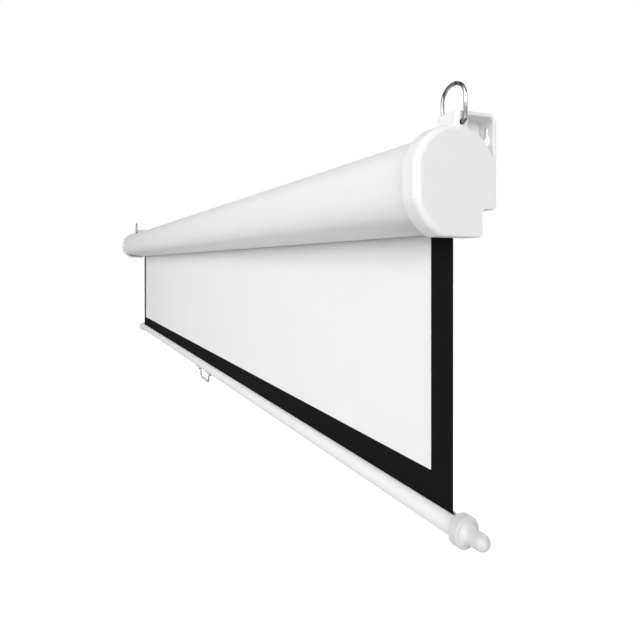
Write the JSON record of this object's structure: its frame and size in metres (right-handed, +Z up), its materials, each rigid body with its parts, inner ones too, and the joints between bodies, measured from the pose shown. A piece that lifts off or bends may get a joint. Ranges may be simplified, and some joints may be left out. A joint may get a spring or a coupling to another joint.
{
  "type": "manual projection screen",
  "caption": "Pull-down projection screen: round case with moulded end caps, keyholes and hanging rings, spring roller with ratchet, black-bordered cloth, bottom bar and handle.",
  "frame": {"origin": "on the wall, half way between the two keyhole screws that the screen hangs on", "axes": "+X along the case towards its spring end, +Y into the wall, -Y towards the audience, +Z up"},
  "size_m": [1.602, 0.0887, 0.4145],
  "materials": {
    "case_paint": "white stoved paint, satin",
    "cap_moulding": "white moulded plastic, soft gloss",
    "bar_moulding": "pale grey moulded plastic",
    "chromed_wire": "bright plated wire",
    "handle_wire": "pale grey coated wire",
    "zinc_steel": "zinc plated",
    "spring_steel": "oiled spring wire",
    "nylon": "natural nylon",
    "white_cloth": "matt white coated cloth",
    "black_print": "matt black printed border"
  },
  "bodies": {
    "case": {"case_tube": "case_paint", "end_cap_right": "cap_moulding", "end_cap_left": "cap_moulding", "cap_screw_right_lower": "zinc_steel", "cap_screw_right_upper": "zinc_steel", "cap_screw_left_lower": "zinc_steel", "cap_screw_left_upper": "zinc_steel", "bracket_plate_right": "zinc_steel", "bracket_plate_left": "zinc_steel", "bracket_screw_right_front": "zinc_steel", "bracket_screw_right_rear": "zinc_steel", "bracket_screw_left_front": "zinc_steel", "bracket_screw_left_rear": "zinc_steel", "spring_spindle": "zinc_steel", "spindle_anchor": "nylon", "torsion_spring": "spring_steel", "ratchet_wheel": "zinc_steel", "idle_bush": "nylon", "screen_fabric": "white_cloth", "black_border": "black_print"},
    "roller": {"roller_tube": "zinc_steel", "fabric_roll": "white_cloth", "roller_plug_right": "nylon", "roller_plug_left": "nylon", "idle_pin": "zinc_steel", "pawl_pin_upper": "zinc_steel", "pawl_pin_lower": "zinc_steel"},
    "upper_pawl": {"pawl_upper": "zinc_steel"},
    "lower_pawl": {"pawl_lower": "zinc_steel"},
    "bar": {"bottom_bar": "case_paint", "hem_sleeve": "white_cloth", "hem_rod": "nylon", "bar_end_right": "bar_moulding", "bar_end_left": "bar_moulding", "handle_clip_left": "bar_moulding", "handle_clip_right": "bar_moulding"},
    "handle": {"pull_handle": "handle_wire", "handle_grip": "bar_moulding"},
    "ring_right": {"hanging_ring_right": "chromed_wire"},
    "ring_left": {"hanging_ring_left": "chromed_wire"}
  },
  "joints": [
    {"name": "screen_pull", "type": "slide", "parent": "case", "child": "bar", "axis": [0, 0, -1], "range_m": [-0.2375, 1.283], "deforming": ["screen_fabric", "black_border"]},
    {"name": "roller_spin", "type": "hinge", "parent": "case", "child": "roller", "pos_m": [0, -0.044, -0.05], "axis": [-1, 0, 0], "range_deg": [-522.1, 2820.02]},
    {"name": "upper_pawl_swing", "type": "hinge", "parent": "roller", "child": "upper_pawl", "pos_m": [0.7746, -0.0321, -0.04], "axis": [1, 0, 0], "range_deg": [-12, 15]},
    {"name": "lower_pawl_swing", "type": "hinge", "parent": "roller", "child": "lower_pawl", "pos_m": [0.7746, -0.0559, -0.06], "axis": [1, 0, 0], "range_deg": [-12, 15]},
    {"name": "handle_swing", "type": "hinge", "parent": "bar", "child": "handle", "pos_m": [0, -0.0168, -0.3604], "axis": [1, 0, 0], "range_deg": [-80, 80]},
    {"name": "ring_swing_right", "type": "hinge", "parent": "case", "child": "ring_right", "pos_m": [0.7864, -0.041, -0.001], "axis": [1, 0, 0], "range_deg": [-58, 9]},
    {"name": "ring_swing_left", "type": "hinge", "parent": "case", "child": "ring_left", "pos_m": [-0.7864, -0.041, -0.001], "axis": [1, 0, 0], "range_deg": [-58, 9]}
  ],
  "couplings": [
    {"joint": "roller_spin", "follows": "screen_pull", "rad_per_m": 38.362}
  ]
}
